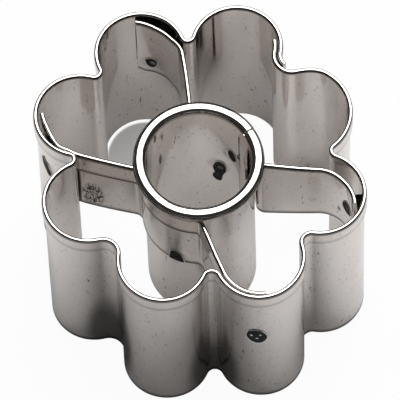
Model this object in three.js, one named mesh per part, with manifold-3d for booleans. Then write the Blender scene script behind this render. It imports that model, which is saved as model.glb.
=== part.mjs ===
// Flower cookie cutter for ring biscuits, in tinplate. A hemmed band is bent into petals and lapped at one
// notch. A beaded tube inside it cuts the hole. Two bent braces carry the tube, and spot welds join the sheets.
// Millimetres, +Z up. The cutting edges stand on z = 0 and the origin is under the middle of the outline.
import * as THREE from 'three';
import { mergeVertices } from 'three/addons/utils/BufferGeometryUtils.js';
import ManifoldModule from 'manifold-3d';

// Sheet and fits
const sheet = 0.3; // thickness of the tinplate
const lie = 0.2; // gap between two sheets that lie together
const weldFit = 0.05; // gap between a weld and each of its two sheets
const chordError = 0.025; // how far a facet may stray from its true curve

// Petal band
const flowerDiameter = 45; // across opposite petals, over the hem
const bandHeight = 30;
const petalRadius = 5.55; // inner face of an even petal
const bandHemDepth = 2.8;
const ovalStretch = 0.035; // the bent flower is a little oval
const ovalBearing = 130;

// The band is bent by hand. Petals are counted from the +X axis, to the left. Each one's centre stands out from
// the ring by a little, its radius is wider by a little, and the notch before it has a radius, at the outer face of
// the hem.
const bentPetals = [
  { standsOut: -1.55, wider: 0.9, notchRadius: 0.5 },
  { standsOut: 0.5, wider: 0, notchRadius: 1.3 },
  { standsOut: 0, wider: 0, notchRadius: 0.5 },
  { standsOut: 0, wider: 0, notchRadius: 0.5 },
  { standsOut: 0, wider: 0, notchRadius: 0.5 },
  { standsOut: 0, wider: 0, notchRadius: 1.7 },
  { standsOut: 0, wider: 0, notchRadius: 0.7 },
  { standsOut: 0, wider: 0, notchRadius: 1 },
];
const seamPetal = 1; // the band is lapped at the notch before this petal
const bandLap = 2; // run of the inner layer on the lapped petal
const bandJoggle = 5; // run in which the band steps inside itself
const bandLead = 1; // run from that step to the outer layer's edge

// Centre tube
const tubeDiameter = 14.5; // outer face of the wall
const tubeHeight = 31.2;
const tubeCentre = new THREE.Vector2(-0.2, -1.35); // the tube is set a little off the middle
const beadDiameter = 1.7;
const tubeSeamBearing = 28;
const tubeSeamGap = 0.25; // between the ends of the bead
const tubeLap = 1.3; // run of the inner layer past the seam
const tubeJoggle = 4;

// Braces
const braceHeight = 13.7;
const braceHemDepth = 3;
const braceBend = 1.4; // bend radius beside the tube
const tabClip = 0.9; // cut off the lower corner of a tab
const beadSeat = 0.15; // gap between the bead and the braces under it

// Each brace leaves the tube at two bearings. A tab ends short of its petal's middle by an angle, and is welded at
// an angle back from its end and a height over the brace's lower edge. Over the weld its hem springs away from the
// petal, most at a run from the tab's end, and no more at a further run to both sides.
const braces = [
  {
    name: 'left',
    leaves: [185, 262],
    tabs: [
      {
        name: 'left',
        petal: 3,
        short: 14,
        weldBack: 45,
        weldHeight: 6.7,
        spring: 0.5,
        springAt: 2.5,
        springRun: 2.6,
      },
      {
        name: 'front',
        petal: 6,
        short: 17,
        weldBack: 14,
        weldHeight: 2.5,
        spring: 0.1,
        springAt: 4.5,
        springRun: 4.5,
      },
    ],
    tubeWelds: [{ name: 'front', bearing: 243, height: 1.15 }],
  },
  {
    name: 'right',
    leaves: [0, 87],
    tabs: [
      {
        name: 'right',
        petal: 7,
        short: 11,
        weldBack: 30,
        weldHeight: 6.9,
        spring: 1.4,
        springAt: 5.4,
        springRun: 7.1,
      },
      {
        name: 'back',
        petal: 2,
        short: 24,
        weldBack: 17,
        weldHeight: 2.8,
        spring: 0.8,
        springAt: 4.5,
        springRun: 4.5,
      },
    ],
    tubeWelds: [
      { name: 'back_lower', bearing: 65, height: 1.1 },
      { name: 'back_upper', bearing: 48, height: 5.5 },
    ],
  },
];

// Spot welds
const weldDiameter = 2; // between brace and band, and brace and tube
const seamWeldDiameter = 0.9; // in the laps of band and tube
const seamWeldEdge = 8; // from the lower and the upper edge to a seam's welds

// Finish
const tinplate = { color: 0xa8a29d, roughness: 0.28, metalness: 1 };
const burntWeld = { color: 0x3a3634, roughness: 0.6, metalness: 0.8 };

// Sizes that follow
const hem = 2 * sheet; // the sheet folded flat on itself
const tubeOuter = tubeDiameter / 2;
const tubeInner = tubeOuter - sheet;
const beadRadius = beadDiameter / 2;
const beadHeight = tubeHeight - beadRadius;
const braceTop = tubeHeight - beadDiameter - beadSeat;
const braceBottom = braceTop - braceHeight;
const wrapRadius = tubeOuter + lie;
const tabRadius = petalRadius - lie - hem;
const lapOffset = hem + lie;
const petalReach = flowerDiameter / 2 - petalRadius - hem;
const petalCount = bentPetals.length;

const LEFT = 1;
const RIGHT = -1;
const FULL_TURN = 2 * Math.PI;
const rad = THREE.MathUtils.degToRad;

function polar(centre, radius, bearing) {
  return new THREE.Vector2(centre.x + radius * Math.cos(bearing), centre.y + radius * Math.sin(bearing));
}

function bearingOf(vector) {
  return Math.atan2(vector.y, vector.x);
}

function arcStep(radius) {
  return 2 * Math.acos(1 - Math.min(chordError / radius, 0.5));
}

// Heading of the straight line that leaves one circle and runs on to the next
function tangentHeading(a, b) {
  const between = b.centre.clone().sub(a.centre);
  const lean = (a.turn * a.radius - b.turn * b.radius) / between.length();
  return bearingOf(between) + Math.asin(THREE.MathUtils.clamp(lean, -1, 1));
}

// Angle turned on a circle from one heading to another, signed with the circle's turn
function turned(circle, from, to) {
  const angle = THREE.MathUtils.euclideanModulo(circle.turn * (to - from), FULL_TURN);
  return circle.turn * (angle > FULL_TURN - 1e-6 ? 0 : angle);
}

// Stations along a path that runs round a chain of circles, with straight tangents between them. Each station
// has its point, the unit vector to the right of the path and the length run so far.
function beltStations(circles, startHeading, endHeading) {
  const stations = [];
  let from = startHeading;
  circles.forEach((circle, index) => {
    const next = circles[index + 1];
    const to = next ? tangentHeading(circle, next) : endHeading;
    const turn = turned(circle, from, to);
    const steps = Math.max(1, Math.ceil(Math.abs(turn) / arcStep(circle.radius)));
    for (let step = 0; step <= steps; step += 1) {
      const heading = from + (turn * step) / steps;
      const right = new THREE.Vector2(Math.sin(heading), -Math.cos(heading));
      const point = circle.centre.clone().addScaledVector(right, circle.turn * circle.radius);
      const last = stations.at(-1);
      const run = last ? last.point.distanceTo(point) : 0;
      if (!last || run > chordError) stations.push({ point, right, length: last ? last.length + run : 0 });
    }
    from = to;
  });
  return stations;
}

// Solid swept along stations. The section gives an outline of (right, up) points for a station, to the left
// round as seen along the path, and has as many points at every station.
function sweep(stations, section) {
  const outlines = stations.map(section);
  const count = outlines[0].length;
  const positions = outlines.flatMap((outline, index) => {
    const { point, right } = stations[index];
    return outline.flatMap(([aside, up]) => [point.x + right.x * aside, point.y + right.y * aside, up]);
  });
  const triangles = [];
  for (let i = 0; i < stations.length - 1; i += 1) {
    for (let j = 0; j < count; j += 1) {
      const here = i * count + j;
      const above = i * count + ((j + 1) % count);
      triangles.push(here, here + count, above + count, here, above + count, above);
    }
  }
  const cap = (outline) => THREE.ShapeUtils.triangulateShape(outline.map(([x, y]) => new THREE.Vector2(x, y)), []);
  const end = (stations.length - 1) * count;
  cap(outlines[0]).forEach(([a, b, c]) => triangles.push(a, b, c));
  cap(outlines.at(-1)).forEach(([a, b, c]) => triangles.push(end + a, end + c, end + b));
  const geometry = new THREE.BufferGeometry();
  geometry.setAttribute('position', new THREE.Float32BufferAttribute(positions, 3));
  geometry.setIndex(triangles);
  return geometry;
}

function arcPoints(aside, up, radius, from, to) {
  const steps = Math.ceil((to - from) / arcStep(radius));
  return Array.from({ length: steps + 1 }, (_, step) => {
    const angle = from + ((to - from) * step) / steps;
    return [aside + radius * Math.cos(angle), up + radius * Math.sin(angle)];
  });
}

// Upright sheet with a hem folded to its right along the top
function hemmedSheet(aside, bottom, top, hemDepth) {
  const fold = arcPoints(aside + hem / 2, top - hem / 2, hem / 2, 0, Math.PI);
  return [
    [aside, bottom],
    [aside + sheet, bottom],
    [aside + sheet, top - hemDepth],
    [aside + hem, top - hemDepth],
    ...fold,
  ];
}

// Petals and notches
function ovalPoint(bearing, reach) {
  const axis = rad(ovalBearing);
  const along = reach * Math.cos(bearing - axis) * (1 + ovalStretch);
  const across = reach * Math.sin(bearing - axis) * (1 - ovalStretch);
  return new THREE.Vector2(along, across).rotateAround(new THREE.Vector2(), axis);
}

const petals = bentPetals.map(({ standsOut, wider }, index) => {
  const centre = ovalPoint(((index + 0.5) * FULL_TURN) / petalCount, petalReach + standsOut);
  return { centre, radius: petalRadius + wider, turn: LEFT };
});

// The notch before each petal, tangent to it and to the petal before it
const notches = petals.map((petal, index) => {
  const before = petals.at(index - 1);
  const radius = bentPetals[index].notchRadius + hem;
  const between = petal.centre.clone().sub(before.centre);
  const apart = between.length();
  const fromBefore = before.radius + radius;
  const along = (apart ** 2 + fromBefore ** 2 - (petal.radius + radius) ** 2) / (2 * apart);
  const outward = new THREE.Vector2(between.y, -between.x).normalize();
  const reach = Math.sqrt(Math.max(0, fromBefore ** 2 - along ** 2));
  const centre = before.centre.clone().addScaledVector(between, along / apart).addScaledVector(outward, reach);
  return { centre, radius, turn: RIGHT };
});

// The band starts on the nose of the notch before the lapped petal, runs once round the flower, steps inside
// itself and ends on the lapped petal.
const lapHeading = tangentHeading(notches[seamPetal], petals[seamPetal]);

function petalBand() {
  const round = petals.flatMap((_, index) => {
    const at = (seamPetal + index) % petalCount;
    return [notches[at], petals[at]];
  });
  const seam = [notches[seamPetal], petals[seamPetal]];
  const noseHeading = bearingOf(notches[seamPetal].centre) + Math.PI / 2;
  const stations = beltStations([...round, ...seam], noseHeading, lapHeading + bandLap / petalRadius);
  const noseRun = notches[seamPetal].radius * Math.abs(turned(notches[seamPetal], noseHeading, lapHeading));
  const steppedIn = stations.at(-1).length - bandLap - noseRun - bandLead;
  return sweep(stations, ({ length }) => {
    const inside = THREE.MathUtils.smoothstep(length, steppedIn - bandJoggle, steppedIn);
    return hemmedSheet(-lapOffset * inside, 0, bandHeight, bandHemDepth);
  });
}

// Centre tube: a wall whose top edge is curled outwards into a bead, and the inner layer of its lap
const tubeCircle = { centre: tubeCentre, radius: tubeInner, turn: LEFT };

function tubeHeading(bearing) {
  return bearing + Math.PI / 2;
}

function beadedWall() {
  const seam = rad(tubeSeamBearing);
  const halfGap = tubeSeamGap / 2 / tubeInner;
  const stations = beltStations([tubeCircle], tubeHeading(seam + halfGap), tubeHeading(seam - halfGap));
  const curlEnd = Math.acos((beadRadius - sheet) / beadRadius) - Math.PI;
  const bead = arcPoints(beadRadius, beadHeight, beadRadius, curlEnd, Math.PI);
  return sweep(stations, () => [[0, 0], [sheet, 0], ...bead]);
}

function tubeTongue() {
  const seam = rad(tubeSeamBearing);
  const from = seam - tubeJoggle / tubeInner;
  const stations = beltStations([tubeCircle], tubeHeading(from), tubeHeading(seam + tubeLap / tubeInner));
  const top = tubeHeight - beadDiameter;
  return sweep(stations, ({ length }) => {
    const inside = THREE.MathUtils.smoothstep(length, 0, tubeJoggle - tubeSeamGap);
    const inner = THREE.MathUtils.lerp(sheet / 6, -lie - sheet, inside);
    const outer = THREE.MathUtils.lerp((2 * sheet) / 3, -lie, inside);
    return [[inner, sheet], [outer, sheet], [outer, top], [inner, top]];
  });
}

const manifold = await ManifoldModule();
manifold.setup();

function toSolid(geometry) {
  const mesh = new manifold.Mesh({
    numProp: 3,
    vertProperties: new Float32Array(geometry.getAttribute('position').array),
    triVerts: new Uint32Array(geometry.getIndex().array),
  });
  return new manifold.Manifold(mesh);
}

function toGeometry(solid) {
  const mesh = solid.getMesh();
  const geometry = new THREE.BufferGeometry();
  geometry.setAttribute('position', new THREE.Float32BufferAttribute(mesh.vertProperties, 3));
  geometry.setIndex(Array.from(mesh.triVerts));
  return geometry;
}

function centreTube() {
  return toGeometry(toSolid(beadedWall()).add(toSolid(tubeTongue())));
}

// Braces
function tabCircle({ petal }) {
  return { centre: petals[petal].centre, radius: tabRadius, turn: LEFT };
}

// How far a tab leans away from its petal, at a run from its end and a height over the brace's lower edge
function tabLean({ spring, springAt, springRun }, run, height) {
  const share = THREE.MathUtils.clamp((run - springAt) / springRun, -1, 1);
  return (spring * Math.cos((share * Math.PI) / 2) * height) / braceHeight;
}

function bendCircle(bearing) {
  return { centre: polar(tubeCentre, wrapRadius + braceBend, rad(bearing)), radius: braceBend, turn: RIGHT };
}

function tabTip(tab, side) {
  return bearingOf(petals[tab.petal].centre) + side * rad(tab.short);
}

function brace({ leaves, tabs }) {
  const tips = [tabTip(tabs[0], LEFT), tabTip(tabs[1], RIGHT)];
  const wrap = { centre: tubeCentre, radius: wrapRadius, turn: LEFT };
  const circles = [
    tabCircle(tabs[0]),
    bendCircle(leaves[0]),
    wrap,
    bendCircle(leaves[1]),
    tabCircle(tabs[1]),
  ];
  const stations = beltStations(circles, tips[0] + Math.PI / 2, tips[1] + Math.PI / 2);
  const fullLength = stations.at(-1).length;
  return sweep(stations, ({ length }) => {
    const [tab, fromTip] = length < fullLength / 2 ? [tabs[0], length] : [tabs[1], fullLength - length];
    const clip = Math.max(0, tabClip - fromTip);
    const upright = hemmedSheet(0, braceBottom + clip, braceTop, braceHemDepth);
    return upright.map(([aside, up]) => [aside - tabLean(tab, fromTip, up - braceBottom), up]);
  });
}

// Spot weld: a disc bent to the round gap that it fills, between an inner and an outer face about a centre
function weld(diameter, centre, inner, outer, bearing, height) {
  const thickness = outer - inner - 2 * weldFit;
  const middle = (inner + outer) / 2;
  const steps = Math.ceil(FULL_TURN / arcStep(diameter / 2));
  const geometry = new THREE.CylinderGeometry(diameter / 2, diameter / 2, thickness, steps);
  geometry.deleteAttribute('normal');
  geometry.deleteAttribute('uv');
  const disc = mergeVertices(geometry);
  const position = disc.getAttribute('position');
  for (let index = 0; index < position.count; index += 1) {
    const aside = position.getX(index);
    const point = polar(centre, middle + position.getY(index), bearing - aside / middle);
    position.setXYZ(index, point.x, point.y, height + position.getZ(index));
  }
  return disc;
}

// The weld fills the gap between the tab's outer face and the petal, where the tab leans least under it
function tabWeld(tab, side) {
  const { centre } = petals[tab.petal];
  const back = rad(tab.weldBack);
  const reach = weldDiameter / 2;
  const leans = [-reach, reach].map((aside) => {
    return tabLean(tab, Math.max(0, tabRadius * back + aside), tab.weldHeight - reach);
  });
  const inner = tabRadius + sheet - Math.min(...leans);
  const bearing = tabTip(tab, side) + side * back;
  return weld(weldDiameter, centre, inner, petalRadius, bearing, braceBottom + tab.weldHeight);
}

function tubeWeld({ bearing, height }) {
  return weld(weldDiameter, tubeCentre, tubeOuter, wrapRadius, rad(bearing), braceBottom + height);
}

function bandSeamWeld(height) {
  const { centre } = petals[seamPetal];
  const bearing = lapHeading - Math.PI / 2 + bandLap / petalRadius / 2;
  return weld(seamWeldDiameter, centre, petalRadius - lapOffset + sheet, petalRadius, bearing, height);
}

function tubeSeamWeld(height) {
  const bearing = rad(tubeSeamBearing) + tubeLap / tubeInner / 2;
  return weld(seamWeldDiameter, tubeCentre, tubeInner - lie, tubeInner, bearing, height);
}

// Assembly
const cutter = new THREE.Group();

function addPiece(name, geometry, finish) {
  geometry.computeVertexNormals();
  const mesh = new THREE.Mesh(geometry, new THREE.MeshStandardMaterial(finish));
  mesh.name = name;
  cutter.add(mesh);
}

addPiece('petal_band', petalBand(), tinplate);
addPiece('centre_tube', centreTube(), tinplate);
braces.forEach((piece) => {
  addPiece(`brace_${piece.name}`, brace(piece), tinplate);
  piece.tabs.forEach((tab, index) => {
    addPiece(`weld_tab_${tab.name}`, tabWeld(tab, index === 0 ? LEFT : RIGHT), burntWeld);
  });
  piece.tubeWelds.forEach((spot) => addPiece(`weld_tube_${spot.name}`, tubeWeld(spot), burntWeld));
});
addPiece('weld_band_seam_lower', bandSeamWeld(seamWeldEdge), burntWeld);
addPiece('weld_band_seam_upper', bandSeamWeld(bandHeight - seamWeldEdge), burntWeld);
addPiece('weld_tube_seam_lower', tubeSeamWeld(seamWeldEdge), burntWeld);
addPiece('weld_tube_seam_upper', tubeSeamWeld(tubeHeight - seamWeldEdge), burntWeld);

// The origin goes under the middle of the outline
const outlineMiddle = new THREE.Box3().setFromObject(cutter).getCenter(new THREE.Vector3());
cutter.position.set(-outlineMiddle.x, -outlineMiddle.y, 0);

const part = new THREE.Group();
part.add(cutter);

export default part;
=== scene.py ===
# Flower cookie cutter in tinplate: fine surfaces, finishes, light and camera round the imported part.
# Shapes are worked out in millimetres in the part's frame and go into the meshes in metres.
import math

import bpy
import numpy as np
from mathutils import Matrix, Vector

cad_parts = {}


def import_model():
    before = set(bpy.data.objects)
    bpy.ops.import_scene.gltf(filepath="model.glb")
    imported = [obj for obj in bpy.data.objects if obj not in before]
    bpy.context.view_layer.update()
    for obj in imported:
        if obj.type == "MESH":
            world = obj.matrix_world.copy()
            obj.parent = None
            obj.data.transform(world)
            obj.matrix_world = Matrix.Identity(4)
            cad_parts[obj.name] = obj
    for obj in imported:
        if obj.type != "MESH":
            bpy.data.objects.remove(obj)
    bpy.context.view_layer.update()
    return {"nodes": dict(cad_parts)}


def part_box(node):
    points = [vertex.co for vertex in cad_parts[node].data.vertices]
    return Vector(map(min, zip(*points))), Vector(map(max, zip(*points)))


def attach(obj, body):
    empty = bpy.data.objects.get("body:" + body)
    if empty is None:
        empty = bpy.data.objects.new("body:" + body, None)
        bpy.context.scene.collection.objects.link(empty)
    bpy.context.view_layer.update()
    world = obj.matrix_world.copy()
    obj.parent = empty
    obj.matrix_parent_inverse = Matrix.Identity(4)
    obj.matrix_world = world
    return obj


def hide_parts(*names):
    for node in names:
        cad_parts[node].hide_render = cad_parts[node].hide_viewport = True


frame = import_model()
mm = 0.001
left, right = 1, -1  # turns of a path
print("frame:", len(frame["nodes"]), "nodes")


def nodeBox(node):  # lowest and highest corner of a CAD node, in mm
    low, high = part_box(node)
    return np.array(low) / mm, np.array(high) / mm


# Vectors divided by their lengths
def unit(vector):
    return vector / np.linalg.norm(vector, axis=-1, keepdims=True)


def bearingOf(vector):
    return math.atan2(vector[1], vector[0])


# From 0 at start to 1 at end: three squares less two cubes of the share of the way
def smoothStep(value, start, end):
    share = np.clip((value - start) / (end - start), 0, 1)
    return share * share * (3 - 2 * share)


# Paths of bent strips
# A circle is (centre, radius, turn). The heading of the straight line that leaves one circle for the next is
# the bearing between the centres, leant by the difference of the signed radii.
def tangentHeading(a, b):
    between = b[0] - a[0]
    lean = (a[2] * a[1] - b[2] * b[1]) / np.linalg.norm(between)
    return bearingOf(between) + math.asin(max(-1, min(1, lean)))


# Path round a chain of circles with straight tangents between them, as even steps: points, right-hand
# normals and length run. On a circle the point is centre + turn * radius * right(heading).
def stripPath(circles, startHeading, endHeading, step):
    headings, points = [], []
    heading = startHeading
    for index, (centre, radius, turn) in enumerate(circles):
        last = index == len(circles) - 1
        leave = endHeading if last else tangentHeading(circles[index], circles[index + 1])
        swing = (turn * (leave - heading)) % (2 * math.pi)
        swing = 0 if swing > 2 * math.pi - 1e-6 else swing
        count = 2 + int(4 * swing * radius / step)  # four points to a step
        along = heading + turn * swing * np.linspace(0, 1, count)
        headings.append(along)
        points.append(centre + turn * radius * np.c_[np.sin(along), -np.cos(along)])
        heading += turn * swing
    headings, points = np.concatenate(headings), np.concatenate(points)
    run = np.r_[0, np.cumsum(np.linalg.norm(np.diff(points, axis=0), axis=1))]
    even = np.linspace(0, run[-1], 1 + int(run[-1] / step))
    heading = np.interp(even, run, headings)
    point = np.c_[np.interp(even, run, points[:, 0]), np.interp(even, run, points[:, 1])]
    return point, np.c_[np.sin(heading), -np.cos(heading)], even


# Sheet with a hem
sheetForm = {
    "hem": 0.6,  # over the folded edge
    "slit": 0.05,  # left open behind the flap
    "slitDepth": 0.8,
    "lie": 0.2,  # between two strips that lie together
    "footRows": (0.4, 1),  # heights over the cut edge, closer together than on the wall
    "lineRows": (0.35, 0.6, 1),  # heights over the flap's edge
    "wallGap": 0.6,  # from the wall's even rows up to the flap's edge
    "flapRows": 6,
    "foldRows": 13,
    "lipRows": 7,
    # painted shade: darker rows along the cut edge and over the flap's edge
    "footGrime": (1, 0.8),  # on the two lowest rows
    "flapGrime": (1, 0.5),  # on the two rows over the flap's edge
    "swell": 0.022,  # hand-bent unevenness
    "shortSwell": 0.4,  # share of the shorter wave
    "swellSet": 2.2,  # moves the waves inwards
}
layer = (sheetForm["hem"] - sheetForm["slit"]) / 2


# Closed outline (aside, up) of a sheet folded over to its right: up the inner face, over a half circle, down
# the flap to its rounded edge, up into the slit, then down the outer face to the cut edge. With it goes a
# painted shade, which darkens beside the fold, along the flap's edge and along the cut edge. Beside the fold it
# thins out with the sine of the half circle's angle.
def hemOutline(bottom, top, depth, rows, flapGrime, innerPaintedShade):
    half, lipRadius = sheetForm["hem"] / 2, layer / 2
    line = top - depth
    firstRow, evenRow = sheetForm["footRows"]
    even = np.linspace(bottom + evenRow, line - sheetForm["wallGap"], rows)
    wall = np.r_[bottom + layer / 4, bottom + firstRow, even, line]
    *lineRows, lastRow = sheetForm["lineRows"]
    high = np.r_[line + np.array(lineRows), np.linspace(line + lastRow, top - half, sheetForm["flapRows"])]
    fold = np.linspace(math.pi, 0, sheetForm["foldRows"])[1:-1]
    lip = np.linspace(0, -math.pi, sheetForm["lipRows"])
    slitTop = line + sheetForm["slitDepth"]
    # painted shade: dark along the cut edge, under and beside the fold, and along the flap's edge
    foot = np.r_[sheetForm["footGrime"], 0 * wall[2:]]
    underFold = np.r_[0 * high[1:], 1]
    alongFlap = flapGrime * np.r_[sheetForm["flapGrime"], 0 * high[2:]]
    besideFold = np.clip(1.3 - 1.5 * np.sin(fold), 0, 1)
    lipAside, lipUp = 2 * half - lipRadius, line + lipRadius
    pieces = [
        (np.c_[0 * wall, wall], innerPaintedShade * foot),
        (np.c_[0 * high, high], underFold),
        (np.c_[half + half * np.cos(fold), top - half + half * np.sin(fold)], besideFold),
        (np.c_[2 * half + 0 * high[::-1], high[::-1]], (underFold + alongFlap)[::-1]),
        (np.c_[lipAside + lipRadius * np.cos(lip), lipUp + lipRadius * np.sin(lip)], 0 * lip + flapGrime),
        (np.array([[2 * half - layer, slitTop], [layer, slitTop]]), flapGrime * np.ones(2)),
        (np.c_[layer + 0 * wall[::-1], wall[::-1]], (foot + flapGrime * (wall == line))[::-1]),
        (np.array([[0.8 * layer, bottom], [0.2 * layer, bottom]]), np.ones(2)),
    ]
    outlines, paintedShades = zip(*pieces)
    return np.concatenate(outlines), np.concatenate(paintedShades)


# Slow swells of a hand-bent strip: a long wave along the run that turns with the height, and a share of a short
# one, both moved inwards. The run and the height are divided by the waves' lengths.
def handBent(run, up):
    long = np.sin(run / 3.3 + up / 11 + 0.4) * np.cos(up / 8 + run / 19)
    short = np.sin(run / 1.9 - up / 6)
    return sheetForm["swell"] * (long + sheetForm["shortSwell"] * short - sheetForm["swellSet"])


deepestSwell = sheetForm["swell"] * (1 + sheetForm["shortSwell"] + sheetForm["swellSet"])


# Shell swept along a path by an outline per station, with both ends closed
def sweptShell(path, outline):
    point, side, run = path
    outline = np.broadcast_to(outline, (len(run), *outline.shape[-2:])).copy()
    outline[..., 0] += handBent(run[:, None], outline[..., 1])
    flat = point[:, None] + side[:, None] * outline[..., :1]
    vertices = np.concatenate([flat, outline[..., 1:]], axis=2)
    stations, corners = vertices.shape[:2]
    here = np.arange(stations - 1)[:, None] * corners + np.arange(corners)
    above = np.arange(stations - 1)[:, None] * corners + (np.arange(corners) + 1) % corners
    quads = np.stack([here, here + corners, above + corners, above], axis=2).reshape(-1, 4)
    ends = [list(range(corners))[::-1], list(range((stations - 1) * corners, stations * corners))]
    return vertices.reshape(-1, 3), [face[::-1] for face in quads.tolist()], ends


# Volume of the quads' signed pyramids tells which way a closed shell faces
def facingOut(vertices, quads):
    corner = vertices[np.array(quads)] - vertices.mean(axis=0)
    first = np.einsum("ij,ij->i", corner[:, 0], np.cross(corner[:, 1], corner[:, 2]))
    second = np.einsum("ij,ij->i", corner[:, 0], np.cross(corner[:, 2], corner[:, 3]))
    return (first + second).sum() > 0


# Mesh of closed shells with its look, slot and marks, in place of CAD nodes. Edges over the crease angle are sharp.
def addPiece(name, shells, look, nodes, marks, crease=32):
    vertices, faces = [], []
    for points, quads, ends in shells:
        start = sum(len(block) for block in vertices)
        shell = quads + ends
        if not facingOut(points, quads):
            shell = [face[::-1] for face in shell]
        faces += [[corner + start for corner in face] for face in shell]
        vertices.append(points)
    mesh = bpy.data.meshes.new(name)
    mesh.from_pydata((np.concatenate(vertices) * mm).tolist(), [], faces)
    mesh.polygons.foreach_set("use_smooth", np.ones(len(mesh.polygons), bool))
    mesh.set_sharp_from_angle(angle=math.radians(crease))
    mesh.materials.append(look)
    for mark, amount in marks.items():
        mesh.attributes.new(mark, "FLOAT", "POINT").data.foreach_set("value", amount.ravel())
    piece = bpy.data.objects.new(name, mesh)
    bpy.context.scene.collection.objects.link(piece)
    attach(piece, "root")
    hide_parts(*nodes)
    print(name, len(mesh.polygons), "faces")


# Shader maths: a wire is a socket that takes part in expressions
class Wire:
    def __init__(self, tree, socket):
        self.tree, self.socket = tree, socket

    def node(self, kind, settings=None, sockets=None, out=0):
        made = self.tree.nodes.new(kind)
        for name, value in (settings or {}).items():
            setattr(made, name, value)
        for name, value in (sockets or {}).items():
            if isinstance(value, Wire):
                self.tree.links.new(value.socket, made.inputs[name])
            else:
                made.inputs[name].default_value = value
        return Wire(self.tree, made.outputs[out] if made.outputs else None)

    def maths(self, operation, first, second):
        return self.node("ShaderNodeMath", {"operation": operation}, {0: first, 1: second})

    def __add__(self, other):
        return self.maths("ADD", self, other)

    def __sub__(self, other):
        return self.maths("SUBTRACT", self, other)

    def __mul__(self, other):
        return self.maths("MULTIPLY", self, other)

    def __rsub__(self, other):
        return self.maths("SUBTRACT", other, self)

    __radd__ = __add__
    __rmul__ = __mul__

    def within(self, start, end):  # 0 before start, 1 past end, smooth between
        limits = {"Value": self, "From Min": start, "From Max": end}
        return self.node("ShaderNodeMapRange", {"interpolation_type": "SMOOTHSTEP"}, limits)

    def largest(self, other):
        return self.maths("MAXIMUM", self, other)

    def mixed(self, share, first, second):  # colours, by a share from 0 to 1
        return self.node("ShaderNodeMix", {"data_type": "RGBA"}, {0: share, 6: first, 7: second}, out=2)

    def scaled(self, by):  # vector times a vector of numbers, in 1/m
        return self.node("ShaderNodeVectorMath", {"operation": "MULTIPLY"}, {0: self, 1: by})

    def awayFrom(self, spot, wide, tall):  # distance from a spot, in half sizes, all in mm
        middle = tuple(np.array(spot) * mm)
        moved = self.node("ShaderNodeVectorMath", {"operation": "SUBTRACT"}, {0: self, 1: middle})
        shape = moved.scaled((1 / (wide * mm), 1 / (wide * mm), 1 / (tall * mm)))
        return self.node("ShaderNodeVectorMath", {"operation": "LENGTH"}, {0: shape}, out=1)

    def noise(self, by, detail, rough):  # fineness along each axis in 1/m, then the noise's own settings
        settings = {"Vector": self.scaled(by), "Scale": 1, "Detail": detail, "Roughness": rough}
        return self.node("ShaderNodeTexNoise", {}, settings)


# Empty material, a wire to start from, and the Object coordinates
def newLook(name):
    look = bpy.data.materials.new(name)
    look.use_nodes = True
    look.node_tree.nodes.clear()
    start = Wire(look.node_tree, None)
    place = start.node("ShaderNodeTexCoord", out=3)
    return look, start, place


# Principled surface from its sockets
def finishLook(start, sockets):
    shader = start.node("ShaderNodeBsdfPrincipled", {}, sockets)
    start.node("ShaderNodeOutputMaterial", {}, {"Surface": shader})


tinLook = {
    "tone": (0.83, 0.782, 0.75),
    "dull": (0.70, 0.658, 0.63),
    "worn": (0.86, 0.83, 0.80),  # polished edges
    # dark colour of the specks, stains and dots, and of the painted shade
    "pit": (0.07, 0.062, 0.056),
    "burn": (0.12, 0.10, 0.09),
    # shares of these colours where their patterns are full
    "dullShare": 0.55,
    "grainShare": 0.25,
    "rubShare": 0.12,
    "wornShare": 0.85,
    "burnShare": 0.22,
    "speckShare": 0.68,
    "grimeShare": 0.97,
    "roughness": 0.07,
    "dullRoughness": 0.16,
    "wornRoughness": 0.06,
    # added to the roughness
    "rubRough": 0.05,
    "burnRough": 0.1,
    "dirtRough": 0.25,
    # patterns: fineness along each axis in 1/m, detail, roughness of the noise
    "cloud": ((140, 140, 90), 3, 0.6),
    "grain": ((2600, 2600, 2200), 2, 0.6),
    "rub": ((1500, 1500, 60), 3, 0.7),
    "specks": ((3000, 3000, 1800), 1, 0.4),
    "scratches": ((2500, 2500, 600), 1, 0.4),
    "dots": ((4300, 4300, 1900), 1, 0.5),
    "wornEdge": (-0.12, 0.1),  # heights about the place where the wear begins
    "burnReach": 1.7,
    "bump": 0.12,
    "bumpDepth": 0.02,
}
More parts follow.
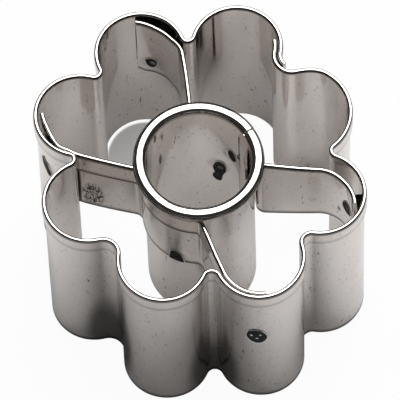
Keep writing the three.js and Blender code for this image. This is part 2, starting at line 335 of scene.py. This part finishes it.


# Bright tinplate: clouds of duller tin, specks, upright scratches, worn folds, painted shade where the piece says
# so, a scorched ring round each weld, stains and painted shade as (spot, half width, half height, share), and
# sprayed dots round a spot as (spot, half width, half height). Each pattern comes in between two values of its
# noise.
def tinplate(name, wornFrom, stains=(), spatter=None):
    look, start, place = newLook(name)
    tone, dullTone, wornTone, pit, burn = ((*tinLook[key], 1) for key in ("tone", "dull", "worn", "pit", "burn"))
    cloud = place.noise(*tinLook["cloud"])
    grain = place.noise(*tinLook["grain"])
    rub = place.noise(*tinLook["rub"]).within(0.60, 0.72)
    specks = place.noise(*tinLook["specks"]).within(0.675, 0.745)
    scratches = place.noise(*tinLook["scratches"]).within(0.70, 0.77)
    specks = specks.largest(scratches) * (0.35 + cloud.within(0.4, 0.65) * 0.65)
    up = start.node("ShaderNodeSeparateXYZ", {}, {0: place}, out=2)
    worn = up.within(*((wornFrom + edge) * mm for edge in tinLook["wornEdge"]))
    # painted shade, as the piece's attribute gives it
    grime = start.node("ShaderNodeAttribute", {"attribute_name": "grime"}, out=2)
    dull = cloud.within(0.35, 0.7)
    colour = start.mixed(dull * tinLook["dullShare"], tone, dullTone)
    colour = start.mixed(grain.within(0.4, 0.75) * tinLook["grainShare"], colour, dullTone)
    colour = start.mixed(rub * tinLook["rubShare"], colour, wornTone)
    colour = start.mixed(worn * tinLook["wornShare"], colour, wornTone)
    rough = tinLook["roughness"] + dull * (tinLook["dullRoughness"] - tinLook["roughness"])
    rough = rough + rub * tinLook["rubRough"]
    rough = rough + worn * (tinLook["wornRoughness"] - rough)
    scorched = 0.0
    for spot in burnSpots:
        away = place.awayFrom(spot, tinLook["burnReach"], tinLook["burnReach"]) + (grain - 0.5) * 0.4
        scorched = (1 - away.within(0.75, 1.2)).largest(scorched)
    colour = start.mixed(scorched * tinLook["burnShare"], colour, burn)
    # real specks, stains and dots, together with the painted shade
    dirtAndShade = (specks * tinLook["speckShare"]).largest(grime * tinLook["grimeShare"])
    for spot, wide, tall, share in stains:
        away = place.awayFrom(spot, wide, tall) + (grain - 0.5) * 0.5
        dirtAndShade = dirtAndShade.largest((1 - away.within(0.7, 1.15)) * share)
    if spatter is not None:
        dots = place.noise(*tinLook["dots"]).within(0.47, 0.54)
        dirtAndShade = dirtAndShade.largest((0.1 + dots * 0.9) * (1 - place.awayFrom(*spatter).within(0.6, 1.1)))
    colour = start.mixed(dirtAndShade, colour, pit)
    rough = rough + scorched * tinLook["burnRough"] + dirtAndShade * tinLook["dirtRough"]
    relief = grain * 0.5 + rub * 0.5 - specks * 1.5
    shape = {"Strength": tinLook["bump"], "Distance": tinLook["bumpDepth"] * mm, "Height": relief}
    bump = start.node("ShaderNodeBump", {}, shape)
    finishLook(start, {"Base Color": colour, "Metallic": 1.0, "Roughness": rough, "Normal": bump})
    return look


burntLook = {
    "scale": (0.006, 0.0055, 0.0055),
    "ash": (0.03, 0.028, 0.027),
    "pale": (0.95, 0.94, 0.92),
    "ashShare": 0.6,
    "roughness": 0.55,
    "paleSmooth": 0.3,  # off the roughness of the bare metal
    "shine": 0.15,
    "crust": ((3200, 3200, 2400), 3, 0.6),
    "patches": ((1500, 1500, 1100), 2, 0.5),
    "bump": 0.5,
    "bumpDepth": 0.05,
}


# Burnt weld: black scale with ashy patches, and pale bare metal where the piece says so
def burntWeld():
    look, start, place = newLook("burntWeld")
    pale = start.node("ShaderNodeAttribute", {"attribute_name": "pale"}, out=2)
    crust = place.noise(*burntLook["crust"])
    ash = place.noise(*burntLook["patches"]).within(0.45, 0.7)
    colour = start.mixed(ash * burntLook["ashShare"], (*burntLook["scale"], 1), (*burntLook["ash"], 1))
    colour = start.mixed(pale, colour, (*burntLook["pale"], 1))
    shape = {"Strength": burntLook["bump"], "Distance": burntLook["bumpDepth"] * mm, "Height": crust}
    surface = {
        "Base Color": colour,
        "Metallic": pale,
        "Roughness": burntLook["roughness"] - pale * burntLook["paleSmooth"],
        "Specular IOR Level": burntLook["shine"],
        "Normal": start.node("ShaderNodeBump", {}, shape),
    }
    finishLook(start, surface)
    return look


# Where the welds are, from the frame
weldNodes = sorted(name for name in frame["nodes"] if name.startswith("weld_"))
weldPlace = {name: (nodeBox(name)[0] + nodeBox(name)[1]) / 2 for name in weldNodes}
burnSpots = [weldPlace[name] for name in weldNodes if "seam" not in name]

# Centre tube
tubeForm = {
    "diameter": 14.5,
    "offset": (-0.2, -1.35),  # from the middle of the flower
    "bead": 1.7,
    "beadSquare": 2.4,  # power of its rounded-square upper half, where 2 is a circle
    "wall": 0.3,
    "seamBearing": 28,
    "seamGap": 0.25,
    "lap": 1.3,
    "joggle": 1.5,
    "lapStep": 0.45,  # of the inner layer's face
    "lapSheet": 0.28,  # its thickness
    "lapFoot": 0.3,  # its lower edge
    "buried": (0.05, 0.2),  # where its faces run inside the wall
    "fade": 3,  # run under the bead over which it dies out
    # painted shade on the bead's sides and underside: its share, where it ends on the bead, and its run down the
    # inner face
    "grime": 0.5,
    "grimeRise": (0.3, 0.65),  # share of the bead's upper half over which the painted shade on its shoulders ends
    "grimeRun": 0.5,  # down the inner face
    "edge": 0.08,  # rounding of the cut edge
    "step": 0.2,
    "rows": 26,
    "curlRows": 56,
    "wornFrom": 0.75,  # share of the bead, from its top
    "stains": [((-5.06, 3.58, 21.95), 0.32, 1.5, 0.9), ((6.1, 0.45, 21.8), 0.45, 1.9, 0.9)],
}
tubeLow, tubeHigh = nodeBox("centre_tube")
tubeTop = tubeHigh[2]
tubeMiddle = ((tubeLow + tubeHigh) / 2)[:2]
flowerMiddle = tubeMiddle - tubeForm["offset"]
tubeInner = tubeForm["diameter"] / 2 - tubeForm["wall"]
beadRadius = tubeForm["bead"] / 2


# Outline of the tube's wall with its top curled outwards: up the inner face, over a rounded square, round the
# rest of a circle, in to the wall and down the outer face. With it goes a painted shade on the bead's shoulders.
def beadOutline():
    wall, rows = tubeForm["wall"], tubeForm["rows"]
    height = tubeTop - beadRadius
    closes = math.acos((beadRadius - wall) / beadRadius) - math.pi  # where the curl meets the wall
    curl = np.linspace(math.pi, closes, tubeForm["curlRows"])
    power = np.where(np.sin(curl) > 0, 2 / tubeForm["beadSquare"], 1)
    across = np.sign(np.cos(curl)) * np.abs(np.cos(curl)) ** power
    rise = np.sign(np.sin(curl)) * np.abs(np.sin(curl)) ** power
    outer = np.linspace(height + beadRadius * math.sin(closes), tubeForm["edge"], rows)[1:]
    inner = np.linspace(tubeForm["edge"], height - tubeForm["grimeRun"], rows)
    pieces = [
        np.c_[0 * inner, inner],
        np.c_[beadRadius + beadRadius * across, height + beadRadius * rise],
        np.c_[wall + 0 * outer, outer],
        np.array([[0.8 * wall, 0], [0.2 * wall, 0]]),
    ]
    # painted shade: dark on the bead's sides and underside, clear on its top
    shoulders = tubeForm["grime"] * (1 - smoothStep(rise, *tubeForm["grimeRise"]))
    return np.concatenate(pieces), np.r_[0 * inner, shoulders, 0 * outer, 0, 0]


# The tube is one turn from seam to seam. The lap is a tongue that comes out of the wall past the seam and stands
# inside it by its step, up to its free edge.
def centreTube():
    circle = [(tubeMiddle, tubeInner, left)]
    seam = math.radians(tubeForm["seamBearing"])
    halfGap = tubeForm["seamGap"] / 2 / tubeInner
    quarter = math.pi / 2
    turn = stripPath(circle, seam + halfGap + quarter, seam - halfGap + quarter, tubeForm["step"])
    outline, grime = beadOutline()
    wall = sweptShell(turn, outline)
    lapStart = seam - tubeForm["lap"] / tubeInner
    lapEnd = seam + tubeForm["joggle"] / tubeInner
    lap = stripPath(circle, lapStart + quarter, lapEnd + quarter, tubeForm["step"])
    inside = 1 - smoothStep(lap[2], tubeForm["lap"] + tubeForm["seamGap"], lap[2][-1])[:, None]
    top = tubeTop - beadRadius
    rows = np.linspace(tubeForm["lapFoot"], top, tubeForm["rows"])
    inside = inside * (1 - smoothStep(rows, top - tubeForm["fade"], top))
    buriedFace, buriedBack = tubeForm["buried"]
    face = buriedFace - (buriedFace + tubeForm["lapStep"]) * inside
    back = buriedBack - (buriedBack + tubeForm["lapStep"] - tubeForm["lapSheet"]) * inside
    shape = (len(lap[2]), len(rows))
    tongue = np.stack(
        [
            np.concatenate([np.broadcast_to(face, shape), np.broadcast_to(back, shape)[:, ::-1]], axis=1),
            np.broadcast_to(np.r_[rows, rows[::-1]], (shape[0], 2 * shape[1])),
        ],
        axis=2,
    )
    look = tinplate("tinplateTube", tubeTop - tubeForm["wornFrom"] * tubeForm["bead"], tubeForm["stains"])
    marks = {"grime": np.r_[np.tile(grime, len(turn[2])), np.zeros(2 * shape[0] * shape[1])]}
    addPiece("centreTube", [wall, sweptShell(lap, tongue)], look, ["centre_tube"], marks)


centreTube()

# Petal band
bandForm = {
    "across": 45,  # opposite petals, over the hem
    "petalRadius": 5.55,  # of an even petal
    "hemDepth": 2.8,
    "oval": 0.035,
    "ovalBearing": 130,
    "standsOut": [-1.55, 0.5, 0, 0, 0, 0, 0, 0],  # petals' centres, from the +X axis to the left
    "wider": [0.9, 0, 0, 0, 0, 0, 0, 0],
    "notchRadius": [0.5, 1.3, 0.5, 0.5, 0.5, 1.7, 0.7, 1],  # of the notch before each petal
    "seamPetal": 1,
    "lap": 2,
    "joggle": 5,  # run over which it steps inside itself
    "lead": 1,  # run inside before the notch
    # painted shade along the flap's edge
    "grime": 0.35,  # along the flap's edge
    "step": 0.2,
    "rows": 20,
}
petalRadius, seamPetal = bandForm["petalRadius"], bandForm["seamPetal"]


# Petals' centres lie on a slightly oval ring. Each notch circle touches the two petals beside it: its centre is
# where circles about theirs meet, widened by its own radius.
def flowerCircles():
    out = np.array(bandForm["standsOut"])
    bearing = (np.arange(len(out)) + 0.5) * 2 * math.pi / len(out)
    reach = bandForm["across"] / 2 - petalRadius - sheetForm["hem"] + out
    axis = math.radians(bandForm["ovalBearing"])
    major = reach * np.cos(bearing - axis) * (1 + bandForm["oval"])
    minor = reach * np.sin(bearing - axis) * (1 - bandForm["oval"])
    turnX = major * math.cos(axis) - minor * math.sin(axis)
    turnY = major * math.sin(axis) + minor * math.cos(axis)
    centre = flowerMiddle + np.c_[turnX, turnY]
    radius = petalRadius + np.array(bandForm["wider"])
    notchRadius = np.array(bandForm["notchRadius"]) + sheetForm["hem"]
    before = np.roll(centre, 1, axis=0)
    apart = np.linalg.norm(centre - before, axis=1)
    ahead = unit(centre - before)
    fromBefore = np.roll(radius, 1) + notchRadius
    along = (apart**2 + fromBefore**2 - (radius + notchRadius) ** 2) / (2 * apart)
    rise = np.sqrt(fromBefore**2 - along**2)
    notch = before + ahead * along[:, None] + np.c_[ahead[:, 1], -ahead[:, 0]] * rise[:, None]
    petals = [(spot, wide, left) for spot, wide in zip(centre, radius)]
    notches = [(spot, wide, right) for spot, wide in zip(notch, notchRadius)]
    return petals, notches


petals, notches = flowerCircles()


# The band runs once round from the nose of the lapped notch, steps inside itself and ends on the next petal.
def petalBand():
    order = np.roll(np.arange(len(petals)), -seamPetal).tolist() + [seamPetal]
    circles = [circle for index in order for circle in (notches[index], petals[index])]
    nose = bearingOf(notches[seamPetal][0] - flowerMiddle) + math.pi / 2
    lapHeading = tangentHeading(notches[seamPetal], petals[seamPetal])
    path = stripPath(circles, nose, lapHeading + bandForm["lap"] / petalRadius, bandForm["step"])
    run = path[2]
    noseRun = notches[seamPetal][1] * ((nose - lapHeading) % (2 * math.pi))
    stepped = run[-1] - bandForm["lap"] - noseRun - bandForm["lead"]
    inside = smoothStep(run, stepped - bandForm["joggle"], stepped)
    top = nodeBox("petal_band")[1][2]
    outline, grime = hemOutline(0, top, bandForm["hemDepth"], bandForm["rows"], bandForm["grime"], 0)
    outline = np.tile(outline, (len(run), 1, 1))
    outline[..., 0] -= (sheetForm["hem"] + sheetForm["lie"]) * inside[:, None]
    look = tinplate("tinplateBand", top - sheetForm["hem"] / 2)
    marks = {"grime": np.tile(grime, len(run))}
    addPiece("petalBand", [sweptShell(path, outline)], look, ["petal_band"], marks)


petalBand()

# Braces
braceForm = {
    "hemDepth": 4.2,
    "clip": 0.9,  # off the lower corner of a tab
    "step": 0.18,
    "rows": 14,
    # spring: for each tab a list of waves, as how far the hem stands off its petal, at what run from the tab's end,
    # over what run towards the end and towards the tube, and the share of it at the lower edge. A wave below 0
    # presses the web towards the nose of the notch.
    "left": {
        "leaves": (185, 262),
        "bends": (1.4, 1.4),
        "tabs": ("left", "front"),
        "petals": (3, 6),
        "short": (14, 17),
        "spring": ([(0.5, 2.5, 2.6, 2.6, 0), (-0.27, 8.4, 1.9, 8.6, 1.6)], [(0.1, 4.5, 4.5, 4.5, 0)]),
        # painted shade: a dark upright line where the web meets the notch's nose
        "stains": [((-15.97, 1.34, 19.0), 0.38, 9, 0.95)],
        "spatter": ((-14.14, 0.62, 18.9), 1.7, 3.3),
    },
    "right": {
        "leaves": (3, 87),
        "bends": (1.1, 1.4),
        "tabs": ("right", "back"),
        "petals": (7, 2),
        "short": (6, 19.5),
        "spring": ([(1.4, 5.4, 6.4, 11, 0.5)], [(0.6, 3.3, 3.4, 4.2, 0), (-0.36, 8.1, 2.5, 9, 1)]),
        "stains": [((18.06, -4.0, 19.65), 0.35, 0.9, 0.85)],
        "spatter": None,
    },
}
hug = tubeForm["diameter"] / 2 + sheetForm["lie"]
tabRadius = petalRadius - sheetForm["lie"] - sheetForm["hem"]


# Bearing of a tab's end about its petal's centre
def tabTip(plan, index):
    side = (left, right)[index]
    return bearingOf(petals[plan["petals"][index]][0] - flowerMiddle) + side * math.radians(plan["short"][index])


# Lean of a tab away from its petal: the sum of half cosine waves along the run, each of them changing evenly with
# the height from its share at the lower edge to all of it at the hem
def tabLean(springs, run, height):
    lean = 0
    for most, at, endReach, tubeReach, low in springs:
        share = np.clip((run - at) / np.where(run < at, endReach, tubeReach), -1, 1)
        lean = lean + most * np.cos(share * math.pi / 2) * (low + (1 - low) * height)
    return lean


# A brace runs from tab to tab: along one petal's wall, past a bend, round the tube, past a bend, and along the
# other petal's wall.
def brace(name):
    plan = braceForm[name]
    low, high = nodeBox("brace_" + name)
    tabs = [(petals[petal][0], tabRadius, left) for petal in plan["petals"]]
    bends = []
    for leaves, radius in zip(plan["leaves"], plan["bends"]):
        out = np.array([math.cos(math.radians(leaves)), math.sin(math.radians(leaves))])
        bends.append((tubeMiddle + (hug + radius) * out, radius, right))
    circles = [tabs[0], bends[0], (tubeMiddle, hug, left), bends[1], tabs[1]]
    headings = [tabTip(plan, index) + math.pi / 2 for index in (0, 1)]
    path = stripPath(circles, *headings, braceForm["step"])
    run = path[2]
    fromTip = np.minimum(run, run[-1] - run)
    lift = np.maximum(0, braceForm["clip"] - fromTip)[:, None]
    outline, grime = hemOutline(low[2], high[2], braceForm["hemDepth"], braceForm["rows"], 1, 1)
    outline = np.tile(outline, (len(run), 1, 1))
    line = high[2] - braceForm["hemDepth"]
    outline[..., 1] += lift * np.clip((line - outline[..., 1]) / (line - low[2]), 0, 1)
    height = (outline[..., 1] - low[2]) / (high[2] - low[2])
    first = (run < run[-1] / 2)[:, None]
    leans = [tabLean(spring, fromTip[:, None], height) for spring in plan["spring"]]
    outline[..., 0] -= np.where(first, leans[0], leans[1])
    worn = high[2] - sheetForm["hem"] / 2
    look = tinplate("tinplateBrace" + name.title(), worn, plan["stains"], plan["spatter"])
    marks = {"grime": np.tile(grime, len(run))}
    addPiece("brace" + name.title(), [sweptShell(path, outline)], look, ["brace_" + name], marks)


brace("left")
brace("right")

# Spot welds
# Each mark is the burnt outline on one face, as (aside, up) from the weld's middle. The other face has a plain
# round nugget. Pale spots are (aside, up, reach, share).
weldForm = {
    "rings": 14,
    "spokes": 56,
    "nugget": 2.0,
    "seamNugget": 0.9,
    "seamFace": 0.15,  # place of a tube seam's weld inside the lap's sheet
    "firstRing": 0.03,  # share of the outline
    "proud": 0.03,  # crust over the sheet
    "rough": 0.025,  # waves of the crust
    "lip": 0.055,  # pale rim round the burn
    "lipWide": 0.17,
    "lipRings": (0.3, 0.7, 1),  # shares of its width
    "sink": 0.06,  # how far the edge runs into the sheet
    "deep": 0.14,  # where the mark narrows to the nugget, inside the sheet
    "mound": 0.06,  # height of a pale spot
    "marks": {
        "weld_tab_front": {
            "face": "outer",
            "outline": [
                (-1.24, 0), (-1.05, 1.2), (-0.63, 1.6), (0, 1.8), (0.6, 1.4), (1.05, 0.5),
                (1.2, -0.4), (0.93, -1.4), (0.45, -1.9), (-0.13, -1.9), (-0.7, -1.5), (-1.1, -0.8),
            ],
            "pale": [(-0.64, 0.15, 0.2, 1), (0.4, 0.35, 0.17, 0.8), (0, -0.6, 0.2, 0.9)],
        },
        "weld_tab_left": {
            "face": "outer",
            "outline": [
                (-0.82, 1.5), (-0.3, 2.0), (-0.05, 1.1), (0.35, 1.0), (0.5, 0.1), (0.84, -0.6),
                (0.84, -1.4), (0.55, -2.1), (0.2, -1.8), (-0.15, -0.9), (-0.55, -0.2),
            ],
            "pale": [],
        },
        "weld_tab_right": {
            "face": "inner",
            "outline": [
                (1.3, -0.4), (1.05, 0.9), (0.5, 1.5), (0, 1.75), (-0.7, 1.4), (-1.2, 0.6),
                (-1.35, -0.2), (-0.9, -1.1), (0, -1.6), (0.9, -1.3),
            ],
            "pale": [(0, 0.1, 0.5, 0.22)],
        },
        "weld_tab_back": {
            "face": "inner",
            "outline": [
                (0.93, 0.65), (0.46, 1.1), (-0.18, 1.35), (-0.82, 1.3), (-0.98, 0.55), (-0.77, -0.45),
                (-0.27, -1.18), (0.21, -1.2), (0.66, -0.6),
            ],
            "pale": [(-0.3, 0.2, 0.5, 0.4)],
        },
        "weld_tube_front": {
            "face": "outer",
            "outline": [
                (-1.06, -1.1), (-0.96, -0.2), (-0.83, 1.0), (-0.35, 1.6), (0.06, 1.56), (0.51, 1.0),
                (0.81, 0), (0.98, -1.1), (0.4, -1.12), (-0.3, -1.12),
            ],
            "pale": [],
        },
        "weld_tube_back_lower": {
            "face": "inner",
            "outline": [
                (0.94, -0.8), (0.56, 0.4), (0, 1), (-0.64, 0.95), (-1.07, 0.14), (-1.08, -1.16),
                (-0.67, -2.2), (-0.45, -3), (-0.43, -3.9), (-0.1, -4.65), (0.5, -4.5), (0.98, -3.8),
                (1, -3.2), (0.6, -2.3), (0.85, -1.7),
            ],
            "pale": [(-0.2, -0.7, 0.5, 0.22)],
        },
        "weld_tube_back_upper": {
            "face": "inner",
            "outline": [
                (0.65, 0.8), (0.39, 1.35), (0.05, 1.45), (-0.39, 0.96), (-0.65, 0.14), (-0.77, -0.58),
                (-0.5, -1.16), (-0.04, -1.36), (0.38, -0.8), (0.65, 0),
            ],
            "pale": [],
        },
    },
}


# Inner and outer face that a weld shows on, as radii over its own spread of angles and heights
def weldFaces(name, angle, up):
    if name.startswith("weld_tab"):
        tab = name.removeprefix("weld_tab_")
        for side in ("left", "right"):
            plan = braceForm[side]
            if tab in plan["tabs"]:
                index = plan["tabs"].index(tab)
                low, high = nodeBox("brace_" + side)
                run = (left, right)[index] * tabRadius * (angle - tabTip(plan, index))
                run = np.mod(run + math.pi * tabRadius, 2 * math.pi * tabRadius) - math.pi * tabRadius
                lean = tabLean(plan["spring"][index], run, (up - low[2]) / (high[2] - low[2]))
                return tabRadius - lean, petalRadius + layer
    if name.startswith("weld_band"):  # the seams' welds stay between their sheets
        return petalRadius - sheetForm["hem"] - sheetForm["lie"] + layer / 2, petalRadius + layer / 2
    if name.startswith("weld_tube_seam"):
        return tubeInner - tubeForm["lapStep"] + weldForm["seamFace"], tubeInner + tubeForm["wall"] / 2
    return tubeInner, hug + layer


# Closed outline as even steps, rounded at its corners, anticlockwise from its right-hand side
def evenOutline(corners):
    loop = np.array([*corners, corners[0]])
    run = np.r_[0, np.cumsum(np.linalg.norm(np.diff(loop, axis=0), axis=1))]
    even = np.linspace(0, run[-1], weldForm["spokes"], endpoint=False)
    line = np.c_[np.interp(even, run, loop[:, 0]), np.interp(even, run, loop[:, 1])]
    line = (np.roll(line, 1, axis=0) + 2 * line + np.roll(line, -1, axis=0)) / 4
    if np.sum(line[:, 0] * np.roll(line[:, 1], -1) - line[:, 1] * np.roll(line[:, 0], -1)) < 0:
        line = line[::-1]
    spread = line - line.mean(axis=0)
    return np.roll(line, -int(np.argmin(np.abs(np.arctan2(spread[:, 1], spread[:, 0])))), axis=0)


# Plain nugget: a circle with two small waves
def nuggetOutline(size, seed):
    spoke = np.linspace(0, 2 * math.pi, weldForm["spokes"], endpoint=False)
    radius = size / 2 * (1 + 0.05 * np.sin(3 * spoke + seed) + 0.03 * np.sin(7 * spoke + 2 * seed))
    return np.c_[radius * np.cos(spoke), radius * np.sin(spoke)]


# One face of a weld over rings and spokes: the outline shrunk to its middle, a pale lip round it and its edge
# sunk in the sheet. The crust is a product of two waves and a share of a third, and a pale spot is a mound that
# falls off with the square of the distance. Gives the flat place, the relief and how pale it is.
def weldFace(line, spots, seed):
    middle = line.mean(axis=0)
    share = np.linspace(weldForm["firstRing"], 1, weldForm["rings"])[:, None, None]
    rims = len(weldForm["lipRings"])
    out = unit(line - middle)
    lip = weldForm["lipWide"] * np.array(weldForm["lipRings"])[:, None, None]
    place = np.concatenate([middle + share * (line - middle), line + lip * out])
    aside, up = place[..., 0], place[..., 1]
    inner = np.r_[share[:, 0, 0], np.ones(rims)][:, None]
    crust = np.sin(5 * aside + seed) * np.sin(4 * up + 2 * seed) + 0.6 * np.sin(9 * aside - 7 * up)
    relief = weldForm["proud"] + weldForm["rough"] * crust * (1 - inner**6)
    pale = np.zeros_like(relief)
    for x, y, reach, amount in spots:
        mound = np.exp(-(((aside - x) ** 2 + (up - y) ** 2) / reach**2))
        relief = relief + weldForm["mound"] * amount * mound
        pale = np.maximum(pale, amount * smoothStep(mound, 0.3, 0.7))
    relief[-rims:-1], relief[-1] = weldForm["lip"], -weldForm["sink"]
    pale[-rims:-1] = 1
    return place, relief, pale


# A weld is a nugget through two sheets, bent to their curve: one face, a narrowing inside the marked sheet, and
# the other face.
def weld(name, look):
    place = weldPlace[name]
    if "tube" in name:
        axis = tubeMiddle
    else:
        axis = min((circle[0] for circle in petals), key=lambda spot: np.linalg.norm(spot - place[:2]))
    out = place[:2] - axis
    middle, bearing = np.linalg.norm(out), bearingOf(out)
    seed = weldNodes.index(name)
    plan = weldForm["marks"].get(name, {"face": "outer", "outline": None, "pale": []})
    nugget = nuggetOutline(weldForm["seamNugget" if "seam" in name else "nugget"], seed)
    marked = nugget if plan["outline"] is None else evenOutline(plan["outline"])
    lines = {"inner": nugget, "outer": nugget, plan["face"]: marked}
    spots = {"inner": [], "outer": [], plan["face"]: plan["pale"]}
    grids, pales = {}, {}
    for side, face in ((-1, "inner"), (1, "outer")):
        flat, relief, pale = weldFace(lines[face], spots[face], seed)
        if face == plan["face"]:  # inside the sheet the mark narrows to the nugget
            flat = np.concatenate([flat, [marked, nugget]])
            relief = np.concatenate([relief, np.full((2, len(nugget)), -weldForm["deep"])])
            pale = np.concatenate([pale, np.zeros((2, len(nugget)))])
        angle, up = bearing + flat[..., 0] / middle, place[2] + flat[..., 1]
        radius = weldFaces(name, angle, up)[(side + 1) // 2] + side * relief
        if face == "inner":  # clear of the sheet's swells
            radius = radius - deepestSwell
        grids[face] = np.stack([axis[0] + radius * np.cos(angle), axis[1] + radius * np.sin(angle), up], axis=2)
        pales[face] = pale
    grid = np.concatenate([grids["outer"], grids["inner"][::-1]])
    rows, spokes = grid.shape[:2]
    here = np.arange(rows - 1)[:, None] * spokes + np.arange(spokes)
    beside = np.arange(rows - 1)[:, None] * spokes + (np.arange(spokes) + 1) % spokes
    quads = np.stack([here, beside, beside + spokes, here + spokes], axis=2).reshape(-1, 4).tolist()
    ends = [list(range(spokes))[::-1], list(range((rows - 1) * spokes, rows * spokes))]
    piece = "".join(word if index == 0 else word.title() for index, word in enumerate(name.split("_")))
    marks = {"pale": np.concatenate([pales["outer"], pales["inner"][::-1]])}
    addPiece(piece, [(grid.reshape(-1, 3), quads, ends)], look, [name], marks, crease=60)


scorched = burntWeld()
for weldName in weldNodes:
    weld(weldName, scorched)

# Stage
stageForm = {
    "floor": 1.5,  # half its width, in m
    "drop": 0.04,  # under the cut edges
    "white": (0.86, 0.86, 0.86),
    "showsWhite": 0.96,  # to the camera
    "shadedPetal": 2,
    "shadeReach": (4.9, 5.3),  # run to the edge of its shade
    "shadeShows": 0.16,
    "duskNotches": [5, 6],  # painted shadow: the floor's paper is darker in these notches
    "duskReach": (1.6, 5.2),  # run over which it ends
    "dusk": (0.26, 0.26, 0.26),
    # painted light: floor patches that glow white to glossy rays only, so the metal mirrors them whiter: place,
    # reach of the full share, run to its edge, share
    "mirrors": [
        ((-0.2, -1.37, 0), 6.2, 7.2, 0.22),
        ((16, -2, 0), 8, 13, 0.19),
        ((-1.5, 19, 0), 7, 13, 0.10),
    ],
}


# White floor that takes the shadow, with a painted shadow of darker paper in two notches. To the camera it is
# mostly plain white, but for the shaded petal, and patches inside the flower glow white as painted light that the
# walls mirror.
def floor():
    size, drop = stageForm["floor"], stageForm["drop"] * mm
    corners = [(-size, -size, -drop), (size, -size, -drop), (size, size, -drop), (-size, size, -drop)]
    mesh = bpy.data.meshes.new("floor")
    mesh.from_pydata(corners, [], [(0, 1, 2, 3)])
    look, start, place = newLook("floor")
    rays = start.node("ShaderNodeLightPath").socket.node.outputs
    shaded = place.awayFrom((*petals[stageForm["shadedPetal"]][0], 0), 1, 1).within(*stageForm["shadeReach"])
    shows = stageForm["shadeShows"] + shaded * (stageForm["showsWhite"] - stageForm["shadeShows"])
    seen = Wire(start.tree, rays["Is Camera Ray"]) * shows
    paintedGlow = 0.0
    # painted light: floor patches that glow white to glossy and transmission rays only
    for spot, near, far, share in stageForm["mirrors"]:
        paintedGlow = (1 - place.awayFrom(spot, 1, 1).within(near, far)) * share + paintedGlow
    paintedGlow = paintedGlow * (Wire(start.tree, rays["Is Glossy Ray"]) + Wire(start.tree, rays["Is Transmission Ray"]))
    clearOfPaintedShadow = 1.0
    # painted shadow: darker paper round the front notches
    for index in stageForm["duskNotches"]:
        clearOfPaintedShadow = place.awayFrom((*notches[index][0], 0), 1, 1).within(*stageForm["duskReach"]) * clearOfPaintedShadow
    colour = start.mixed(clearOfPaintedShadow, (*stageForm["dusk"], 1), (*stageForm["white"], 1))
    paper = start.node("ShaderNodeBsdfDiffuse", {}, {"Color": colour})
    glow = start.node("ShaderNodeEmission", {}, {"Color": (1, 1, 1, 1), "Strength": 1.0})
    both = start.node("ShaderNodeMixShader", {}, {0: seen + paintedGlow, 1: paper, 2: glow})
    start.node("ShaderNodeOutputMaterial", {}, {"Surface": both})
    mesh.materials.append(look)
    plane = bpy.data.objects.new("floor", mesh)
    bpy.context.scene.collection.objects.link(plane)


# Places and distance in m, angles in degrees
lightForm = {
    "ambient": 0.03,
    "aim": (0, 0, 0.015),
    "distance": 0.6,
    "back": {"bearing": 90, "elevation": 62, "spread": 18, "radiance": 4.0},
    "backRight": {"bearing": 50, "elevation": 62, "spread": 18, "radiance": 2.2},
    "lowRight": {"bearing": 50, "elevation": 40, "spread": 18, "radiance": 1.6},
    "overhead": {"bearing": 90, "elevation": 88, "spread": 18, "radiance": 2.7},
}


# Matrix that looks against a direction, turned about it by a roll
def aimed(at, back, roll):
    side = unit(np.cross((0, 0, 1), back)) if abs(back[2]) < 0.999 else np.array([1.0, 0, 0])
    up = np.cross(back, side)
    turnedSide = side * math.cos(roll) + up * math.sin(roll)
    turnedUp = up * math.cos(roll) - side * math.sin(roll)
    columns = np.c_[turnedSide, turnedUp, back, at]
    return Matrix(np.r_[columns, [[0, 0, 0, 1]]].tolist())


# Round softbox that fills a cone of the given spread. A disc's power is its radiance times pi times its area.
def lamp(name):
    plan = lightForm[name]
    data = bpy.data.lights.new(name, "AREA")
    data.shape = "DISK"
    radius = lightForm["distance"] * math.tan(math.radians(plan["spread"]))
    data.size = 2 * radius
    data.energy = plan["radiance"] * math.pi * math.pi * radius**2
    holder = bpy.data.objects.new(name, data)
    bpy.context.scene.collection.objects.link(holder)
    bearing, rise = math.radians(plan["bearing"]), math.radians(plan["elevation"])
    back = np.array([math.cos(bearing) * math.cos(rise), math.sin(bearing) * math.cos(rise), math.sin(rise)])
    holder.matrix_world = aimed(np.array(lightForm["aim"]) + back * lightForm["distance"], back, 0)
    holder.visible_camera = False


# Quiet surroundings, so that the folds show dark beside the softboxes
def world():
    sky = bpy.data.worlds.new("studio")
    bpy.context.scene.world = sky
    sky.use_nodes = True
    sky.node_tree.nodes.clear()
    start = Wire(sky.node_tree, None)
    glow = start.node("ShaderNodeBackground", {}, {"Color": (1, 1, 1, 1), "Strength": lightForm["ambient"]})
    start.node("ShaderNodeOutputWorld", {}, {"Surface": glow})


# Distance and target in mm, angles in degrees
cameraForm = {
    "pixels": 7168,  # focal length, in pixels of the frame
    "frame": 400,
    "sensor": 36,
    "clip": (0.05, 10),  # in m
    "distance": 946.2,
    "elevation": 63.351,
    "azimuth": -1.746,
    "roll": -2.137,
    "target": (-0.118, 0.697, 15.0),
}


def camera():
    plan = cameraForm
    data = bpy.data.cameras.new("camera")
    data.sensor_width = plan["sensor"]
    data.lens = plan["sensor"] * plan["pixels"] / plan["frame"]
    data.clip_start, data.clip_end = plan["clip"]
    holder = bpy.data.objects.new("camera", data)
    bpy.context.scene.collection.objects.link(holder)
    rise, turn = math.radians(plan["elevation"]), math.radians(plan["azimuth"])
    back = np.array([math.sin(turn) * math.cos(rise), -math.cos(turn) * math.cos(rise), math.sin(rise)])
    at = np.array(plan["target"]) + back * plan["distance"]
    holder.matrix_world = aimed(at * mm, back, math.radians(plan["roll"]))
    bpy.context.scene.camera = holder


floor()
world()
for lampName in ("back", "backRight", "lowRight", "overhead"):
    lamp(lampName)
camera()
bpy.context.scene.view_settings.view_transform = "Standard"
print("stage, light and camera ready")
